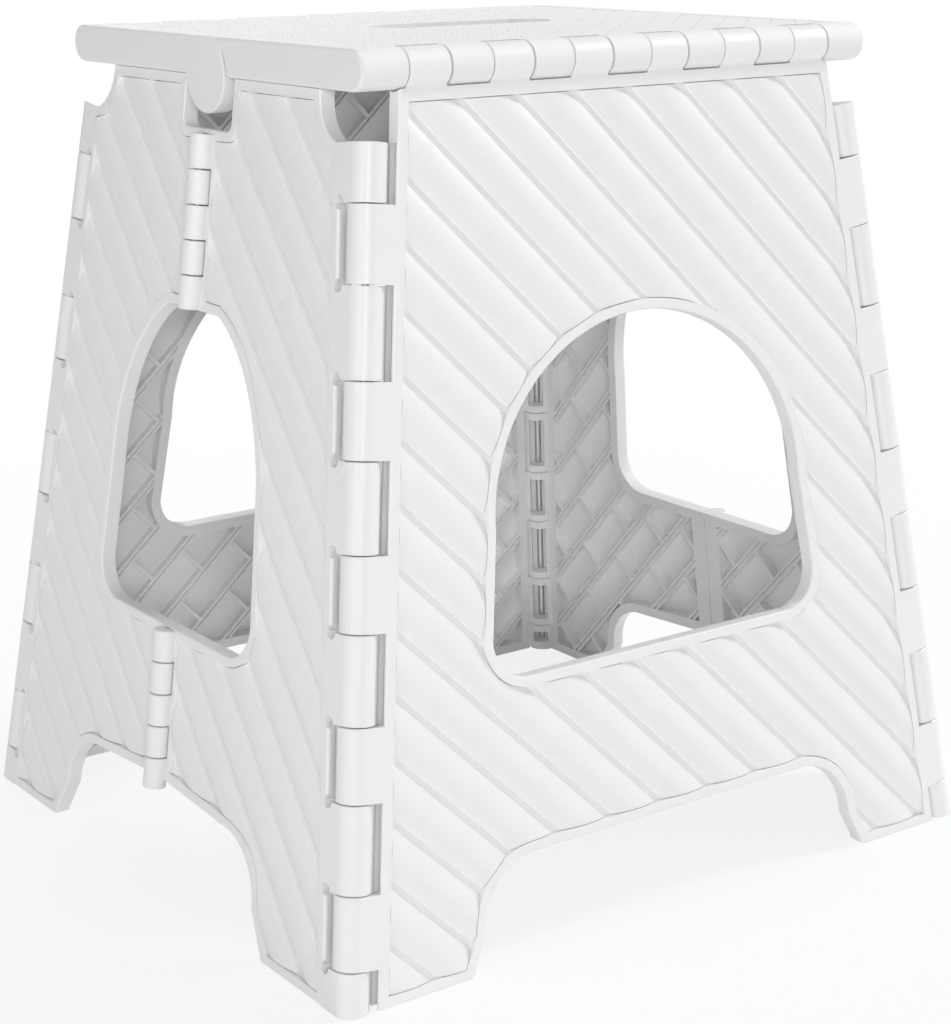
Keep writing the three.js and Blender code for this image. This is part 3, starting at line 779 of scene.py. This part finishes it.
class STOOL_OT_front_and_back(bpy.types.Operator):
    """Build the front and back panels with their hinge knuckles"""
    bl_idname = "stool.front_and_back"
    bl_label = "Front and Back Panels"

    def execute(self, context):
        sizes = context.scene.stool_sizes
        to_panel = FRONT.matrix.inverted()
        own, others = edge_knuckles()
        reach = EDGE_COUNT * EDGE_PITCH / 2 - EDGE_KNUCKLE_GAP / 2

        def along_edge(place):
            return [to_panel @ Vector((x, -EDGE_Y, SEAT_CENTRE)) for x in place]

        for node, (body, turn) in PANELS.items():
            panel = moulded_plate(
                node + "_skin", sizes,
                lambda inset, n, field: front_outline(inset, n, sizes.arc_steps, field))
            room = [(-SEAT_LENGTH, -reach), (reach, SEAT_LENGTH)]
            room += [(low - EDGE_KNUCKLE_GAP, high + EDGE_KNUCKLE_GAP) for low, high in others]
            room = map(along_edge, room)
            combined(panel, rods("room", room, EDGE_RADIUS + EDGE_GAP, 64, 0), "DIFFERENCE")
            combined(panel, rods("knuckles", map(along_edge, own), EDGE_RADIUS, 64), "UNION")
            for sign in (-1, 1):
                hollows = edge_hollows(FRONT, sign, side_barrels(), sizes.wall / MM)
                combined(panel, hollows, "DIFFERENCE")
                for part in corner_hinge(FRONT, sign, KNUCKLES):
                    combined(panel, part, "UNION")
                combined(panel, corner_bore(FRONT, sign), "DIFFERENCE")
                combined(panel, barrel_windows(FRONT, sign, KNUCKLES), "DIFFERENCE")
            bore = [along_edge((-SEAT_LENGTH, SEAT_LENGTH))]
            combined(panel, rods("bore", bore, BORE_RADIUS, 20, 0), "DIFFERENCE")
            combined(panel, below_floor(FRONT), "DIFFERENCE")
            panel.matrix_world = FRONT.placed(turn)
            finished(panel, body, node, plastic_material(context, True))
        return {"FINISHED"}


class STOOL_OT_side_halves(bpy.types.Operator):
    """Build the four side halves with their hinge barrels"""
    bl_idname = "stool.side_halves"
    bl_label = "Side Halves"

    def execute(self, context):
        sizes = context.scene.stool_sizes
        barrels = side_barrels()
        recess_width, recess_depth = SEAM_MARGIN + 3.2, 0.9

        def along_hinge(*places):
            return [Vector((0, v, OUTER + SIDE_HINGE_OUT)) for v in places]

        for node, (body, side, sign, turn) in SIDE_HALVES.items():
            half = moulded_plate(
                node + "_skin", sizes,
                lambda inset, n, field: side_outline(sign, inset, n, sizes.arc_steps, field))
            bm = bmesh.new()
            for start, end in SIDE_HINGES:
                low, high = sorted((0, sign * recess_width))
                add_box(bm, (low, start, OUTER - recess_depth), (high, end, OUTER + 9))
            combined(half, new_piece("seam_recess", bm), "DIFFERENCE")
            play = SIDE_PLAY[side]
            own, room, bores = [], [], []
            for start, end in SIDE_HINGES:
                pitch = (end - start) / SIDE_KNUCKLES
                for i in range(SIDE_KNUCKLES):
                    low, high = start + i * pitch, start + (i + 1) * pitch
                    mine = (1 if i % 2 == 0 else -1) == sign
                    grow = -play / 2 if mine else play / 2
                    (own if mine else room).append(along_hinge(low - grow, high + grow))
                bores.append(along_hinge(start + PIN_WALL, end - PIN_WALL))
            combined(half, rods("room", room, SIDE_BARREL + play, 48, 0), "DIFFERENCE")
            combined(half, rods("knuckles", own, SIDE_BARREL, 48), "UNION")
            bore_radius = BORE_RADIUS + BORE_PLAY.get(node, 0)
            combined(half, rods("bores", bores, bore_radius, 20, 0), "DIFFERENCE")
            combined(half, edge_hollows(SIDE, sign, KNUCKLES, sizes.wall / MM), "DIFFERENCE")
            for part in corner_hinge(SIDE, sign, barrels):
                combined(half, part, "UNION")
            combined(half, corner_bore(SIDE, sign), "DIFFERENCE")
            combined(half, barrel_windows(SIDE, sign, barrels), "DIFFERENCE")
            combined(half, web_notches(SIDE, sign), "DIFFERENCE")
            combined(half, below_floor(SIDE), "DIFFERENCE")
            half.matrix_world = SIDE.placed(turn)
            finished(half, body, node, plastic_material(context, True))
        return {"FINISHED"}


class STOOL_OT_seat_halves(bpy.types.Operator):
    """Build the two halves of the seat with their edge knuckles, centre lobes and end ears"""
    bl_idname = "stool.seat_halves"
    bl_label = "Seat Halves"

    def execute(self, context):
        steps = context.scene.stool_sizes.arc_steps
        along_x = Matrix(((0, 0, 1, 0), (1, 0, 0, 0), (0, 1, 0, 0), (0, 0, 0, 1)))
        end, seam = SEAT_LENGTH / 2, EDGE_Y
        panel_places = edge_knuckles()[0]
        inner = end - EAR_WIDTH
        pin_start = 22

        def profile(inset, x):
            r = EDGE_RADIUS - inset
            face = seam - SEAM_GAP / 2
            relief, height = SEAM_RELIEF
            loop = arc((0, 0), (r, r), 90, 270, steps) + [
                (face - relief, -r), (face, height - EDGE_RADIUS), (face, r)]
            return loop, None

        def ear(inset, x):
            lower, upper = EAR_RADIUS - inset, EAR_UPPER - inset
            points = arc((seam, -CENTRE_DROP), (lower, lower), -180, 32, steps)
            points += arc((seam, -CENTRE_DROP), (upper, upper), 36, 90, steps)
            return points, None

        def centre(x):
            return Vector((x, seam, -CENTRE_DROP))

        for node, (body, turn) in SEATS.items():
            half = plate(node + "_skin", profile, -end, end, SEAT_END_ROUND, SEAT_END_ROUND)
            half.data.transform(along_x)
            self.add_grip(half, end, seam, steps)
            room = [
                (Vector((low - EDGE_KNUCKLE_GAP, 0, 0)), Vector((high + EDGE_KNUCKLE_GAP, 0, 0)))
                for low, high in panel_places
            ]
            combined(half, rods("room", room, EDGE_RADIUS + EDGE_GAP, 64, 0), "DIFFERENCE")
            lobes, recesses = [], []
            for side in (-1, 1):
                for i in range(LOBE_COUNT):
                    mine = (-1 if i % 2 else 1) == side
                    places = sorted(side * (LOBE_START + k * LOBE_LENGTH) for k in (i, i + 1))
                    gap = (KNUCKLE_GAP if mine else -KNUCKLE_GAP) / 2
                    ends = (centre(places[0] + gap), centre(places[1] - gap))
                    (lobes if mine else recesses).append(ends)
            combined(half, rods("lobes", lobes, LOBE_RADIUS, 40), "UNION")
            recesses = rods("recesses", recesses, LOBE_RADIUS + CENTRE_PLAY, 40, 0)
            combined(half, recesses, "DIFFERENCE")
            disc = plate("ear", ear, inner, end, 0.3, 0.8)
            disc.data.transform(along_x)
            bm = bmesh.new()
            add_box(
                bm, (-2 * end, -CUT_REACH, EDGE_RADIUS - 0.02), (2 * end, 2 * seam, 2 * CUT_REACH))
            combined(disc, new_piece("above", bm), "DIFFERENCE")
            combined(half, disc, "UNION")
            room = [(centre(-end - CUT_REACH), centre(-inner + EAR_GAP))]
            combined(half, rods("room", room, EAR_UPPER + EAR_GAP, 96, 0), "DIFFERENCE")
            combined(half, self.slot(seam, 0, -CUT_REACH, CUT_REACH, steps), "DIFFERENCE")
            combined(half, self.bays(end), "DIFFERENCE")
            bores = [(Vector((PIN_WALL - end, 0, 0)), Vector((end - PIN_WALL, 0, 0)))]
            combined(half, rods("bore", bores, BORE_RADIUS, 20, 0), "DIFFERENCE")
            bores = [(centre(s * pin_start), centre(s * inner)) for s in (-1, 1)]
            bore_radius = BORE_RADIUS + BORE_PLAY.get(node, 0)
            combined(half, rods("bore", bores, bore_radius, 20, 0), "DIFFERENCE")
            half.matrix_world = Matrix.Rotation(turn, 4, "Z") @ Matrix.Translation(
                (0, -EDGE_Y * MM, SEAT_CENTRE * MM))
            finished(half, body, node, plastic_material(context, False))
        return {"FINISHED"}

    def bays(self, end):
        """The hollow underside between two sets of ribs"""
        bm = bmesh.new()
        columns, rows, rib, margin, depth, roof = 14, 4, 1.8, 12, 82, EDGE_RADIUS - 4
        pitch_x, pitch_y = 2 * (end - margin) / columns, depth / rows
        for i in range(columns):
            for j in range(rows):
                x, y = -end + margin + i * pitch_x, margin + j * pitch_y
                add_box(
                    bm, (x + rib / 2, y + rib / 2, -CUT_REACH),
                    (x + pitch_x - rib / 2, y + pitch_y - rib / 2, roof))
        return new_piece("bays", bm)

    def slot(self, seam, grow, low, high, steps):
        """The handle slot's stadium shape, drawn larger all round by grow"""
        straight, radius = SLOT_HALF[0] - SLOT_HALF[1], SLOT_HALF[1] + grow
        loop = arc((straight, seam), (radius, radius), -90, 90, 2 * steps)
        loop += arc((-straight, seam), (radius, radius), 90, 270, 2 * steps)
        return plate("slot", lambda inset, n: (loop, None), low, high)

    def add_grip(self, half, end, seam, steps):
        """The top's sunk field with low anti-slip bars in a diagonal brick pattern, and the
        plain collar round the handle slot"""
        bm = bmesh.new()
        floor, face = EDGE_RADIUS - 0.9, seam - SEAM_GAP / 2
        add_box(bm, (-end + 9, 8, floor), (end - 9, seam - 7, EDGE_RADIUS + 9))
        combined(half, new_piece("field", bm), "DIFFERENCE")
        bm = bmesh.new()
        length, width, joint = 21, 6.4, 1.7
        rows, columns = 24, 9
        foot, top = floor - 1, EDGE_RADIUS - 0.15
        side, lean, bevel, drop = width / 2, 0.4, 0.9, 0.2
        profile = [(-side, foot), (side, foot), (side - lean, top - drop)]
        profile += [(side - bevel, top), (bevel - side, top), (lean - side, top - drop)]
        for i in range(-rows, rows + 1):
            for j in range(-columns, columns + 1):
                along = (j + (i % 2) / 2) * (length + joint)
                place = BAND_TURN @ Vector((along, i * (width + joint), 0))
                place += Vector((0, seam / 2, 0))
                if abs(place.x) < end and -10 < place.y < seam + 10:
                    add_prism(bm, profile, length, Matrix.Translation(place) @ BAND_TURN)
        bars = new_piece("grip", bm)
        bm = bmesh.new()
        add_box(bm, (-end + 8, 7, floor - 2), (end - 8, seam - 6, EDGE_RADIUS + 1))
        combined(half, combined(bars, new_piece("clip", bm), "INTERSECT"), "UNION")
        collar = self.slot(seam, SLOT_COLLAR, floor - 2, EDGE_RADIUS, steps)
        bm = bmesh.new()
        add_box(bm, (-end, 0, -CUT_REACH), (end, face, CUT_REACH))
        combined(half, combined(collar, new_piece("clip", bm), "INTERSECT"), "UNION")


class STOOL_OT_pins(bpy.types.Operator):
    """Replace the hinge pins by smooth drawn wire"""
    bl_idname = "stool.pins"
    bl_label = "Hinge Pins"

    def execute(self, context):
        steel = drawn_steel(context.scene.stool_colours)
        for body, nodes in frame["record"]["behaviour"]["bodies"].items():
            for node in nodes:
                if "pin" not in node:
                    continue
                verts = [v.co / MM for v in frame["nodes"][node].data.vertices]
                ends = []
                for far in self.far_ends(verts):
                    rim = [v for v in verts if (v - far).length < 3 * PIN_RADIUS]
                    ends.append(sum(rim, Vector()) / len(rim))
                pin = rods(node + "_wire", [ends], PIN_RADIUS, 24, 0.3)
                finished(pin, body, node, steel)
        return {"FINISHED"}

    def far_ends(self, verts):
        """Two points at the two ends of a pin"""
        first = max(verts, key=lambda v: (v - verts[0]).length)
        return first, max(verts, key=lambda v: (v - first).length)


class STOOL_OT_stage(bpy.types.Operator):
    """Set up the pale floor, the soft studio light and the camera"""
    bl_idname = "stool.stage"
    bl_label = "Stage"

    def execute(self, context):
        scene = context.scene
        scene.view_settings.view_transform = "Standard"
        self.floor(scene)
        self.world(scene)
        for name, place, size, power in LAMPS:
            light = bpy.data.lights.new(name, "AREA")
            light.energy, light.size = power, size
            lamp = bpy.data.objects.new(name, light)
            lamp.location = place
            lamp.rotation_mode = "QUATERNION"
            way = Vector(LAMP_AIM) - Vector(place)
            lamp.rotation_quaternion = way.to_track_quat("-Z", "Y")
            scene.collection.objects.link(lamp)
        self.camera(scene)
        return {"FINISHED"}

    def floor(self, scene):
        """The pale studio floor"""
        bm = bmesh.new()
        bmesh.ops.create_grid(bm, x_segments=1, y_segments=1, size=6)
        floor = new_piece("studio_floor", bm)
        floor.location.z = -0.0003
        # Matt painted board: camera and mirror rays see it mostly self-lit, so that it stays
        # white, and the rest of it keeps the stool's shadow
        material, tree = new_material("matt_painted_floor")
        colour = linear(scene.stool_colours.floor)
        grit = add_node(
            tree, "ShaderNodeTexNoise", {"Scale": 1 / (3 * MM), "Detail": 1},
            Vector=add_node(tree, "ShaderNodeTexCoord").outputs["Object"])
        rough = add_node(
            tree, "ShaderNodeMapRange", {"To Min": 0.8, "To Max": 0.95}, Value=grit.outputs["Fac"])
        paint = add_node(
            tree, "ShaderNodeBsdfPrincipled", {"Base Color": colour, "Specular IOR Level": 0.2},
            Roughness=rough.outputs[0])
        glow = add_node(tree, "ShaderNodeEmission", {"Color": (1, 1, 1, 1), "Strength": 1})
        seen = add_node(tree, "ShaderNodeLightPath")
        share = add_node(
            tree, "ShaderNodeMath", {"operation": "MAXIMUM"},
            i0=seen.outputs["Is Camera Ray"], i1=seen.outputs["Is Glossy Ray"])
        # The glow's share grows from 0.82 under the stool to all of it 0.9 m away
        away = add_node(
            tree, "ShaderNodeVectorMath", {"operation": "LENGTH"},
            Vector=add_node(tree, "ShaderNodeTexCoord").outputs["Object"])
        fade = add_node(
            tree, "ShaderNodeMapRange",
            {"From Min": 0.3, "From Max": 0.9, "To Min": 0.82, "To Max": 1},
            Value=away.outputs["Value"])
        share = add_node(
            tree, "ShaderNodeMath", {"operation": "MULTIPLY"},
            i0=share.outputs[0], i1=fade.outputs[0])
        mixed = add_node(
            tree, "ShaderNodeMixShader",
            i0=share.outputs[0], i1=paint.outputs[0], i2=glow.outputs[0])
        add_node(tree, "ShaderNodeOutputMaterial", Surface=mixed.outputs[0])
        floor.data.materials.append(material)

    def world(self, scene):
        """Plain soft light from all round, which the camera sees as white"""
        world = bpy.data.worlds.new("studio")
        world.use_nodes = True
        tree = world.node_tree
        tree.nodes.clear()
        seen = add_node(tree, "ShaderNodeLightPath")
        strength = add_node(
            tree, "ShaderNodeMapRange", {"To Min": 0.3, "To Max": 1},
            Value=seen.outputs["Is Camera Ray"])
        light = add_node(
            tree, "ShaderNodeBackground", {"Color": (1, 1, 1, 1)}, Strength=strength.outputs[0])
        add_node(tree, "ShaderNodeOutputWorld", Surface=light.outputs[0])
        scene.world = world

    def camera(self, scene):
        """The photograph's view, found by fitting the stool's corners and hinge lines"""
        data = bpy.data.cameras.new("camera")
        # In pixels: the focal length, the photograph's size and the point straight ahead
        focal, width, height = 2201.81, 951, 1024
        centre_x, centre_y = 443.1, 559.46
        data.sensor_width = 36
        data.lens = focal * data.sensor_width / height
        data.shift_x = (width / 2 - centre_x) / height
        data.shift_y = (centre_y - height / 2) / height
        data.clip_start, data.clip_end = 0.05, 50
        camera = bpy.data.objects.new("camera", data)
        yaw, pitch, roll = (math.radians(a) for a in (35.34, 16.76, -0.46))
        forward = Vector((
            math.sin(yaw) * math.cos(pitch), math.cos(yaw) * math.cos(pitch), -math.sin(pitch)))
        right = Vector((math.cos(yaw), -math.sin(yaw), 0))
        up = right.cross(forward)
        turned = right * math.cos(roll) + up * math.sin(roll)
        up = up * math.cos(roll) - right * math.sin(roll)
        place = Vector((-624.14, -861.96, 447.17)) * MM
        turn = Matrix((turned, up, -forward)).transposed().to_4x4()
        camera.matrix_world = Matrix.Translation(place) @ turn
        scene.collection.objects.link(camera)
        scene.camera = camera


OPERATORS = (
    STOOL_OT_front_and_back,
    STOOL_OT_side_halves,
    STOOL_OT_seat_halves,
    STOOL_OT_pins,
    STOOL_OT_stage,
)


class STOOL_PT_build(bpy.types.Panel):
    """Sizes, colours and the steps that build the stool"""
    bl_idname = "STOOL_PT_build"
    bl_label = "Folding Step Stool"
    bl_space_type = "VIEW_3D"
    bl_region_type = "UI"
    bl_category = "Stool"

    def draw(self, context):
        for group in (context.scene.stool_sizes, context.scene.stool_colours):
            for name in group.bl_rna.properties.keys():
                if name not in {"rna_type", "name"}:
                    self.layout.prop(group, name)
        for operator in OPERATORS:
            self.layout.operator(operator.bl_idname)


CLASSES = (StoolSizes, StoolColours, *OPERATORS, STOOL_PT_build)


def register():
    for cls in CLASSES:
        bpy.utils.register_class(cls)
    bpy.types.Scene.stool_sizes = bpy.props.PointerProperty(type=StoolSizes)
    bpy.types.Scene.stool_colours = bpy.props.PointerProperty(type=StoolColours)


def unregister():
    del bpy.types.Scene.stool_sizes
    del bpy.types.Scene.stool_colours
    for cls in reversed(CLASSES):
        bpy.utils.unregister_class(cls)


def main():
    register()
    bpy.ops.stool.front_and_back()
    bpy.ops.stool.side_halves()
    bpy.ops.stool.seat_halves()
    bpy.ops.stool.pins()
    bpy.ops.stool.stage()


if __name__ == "__main__":
    main()
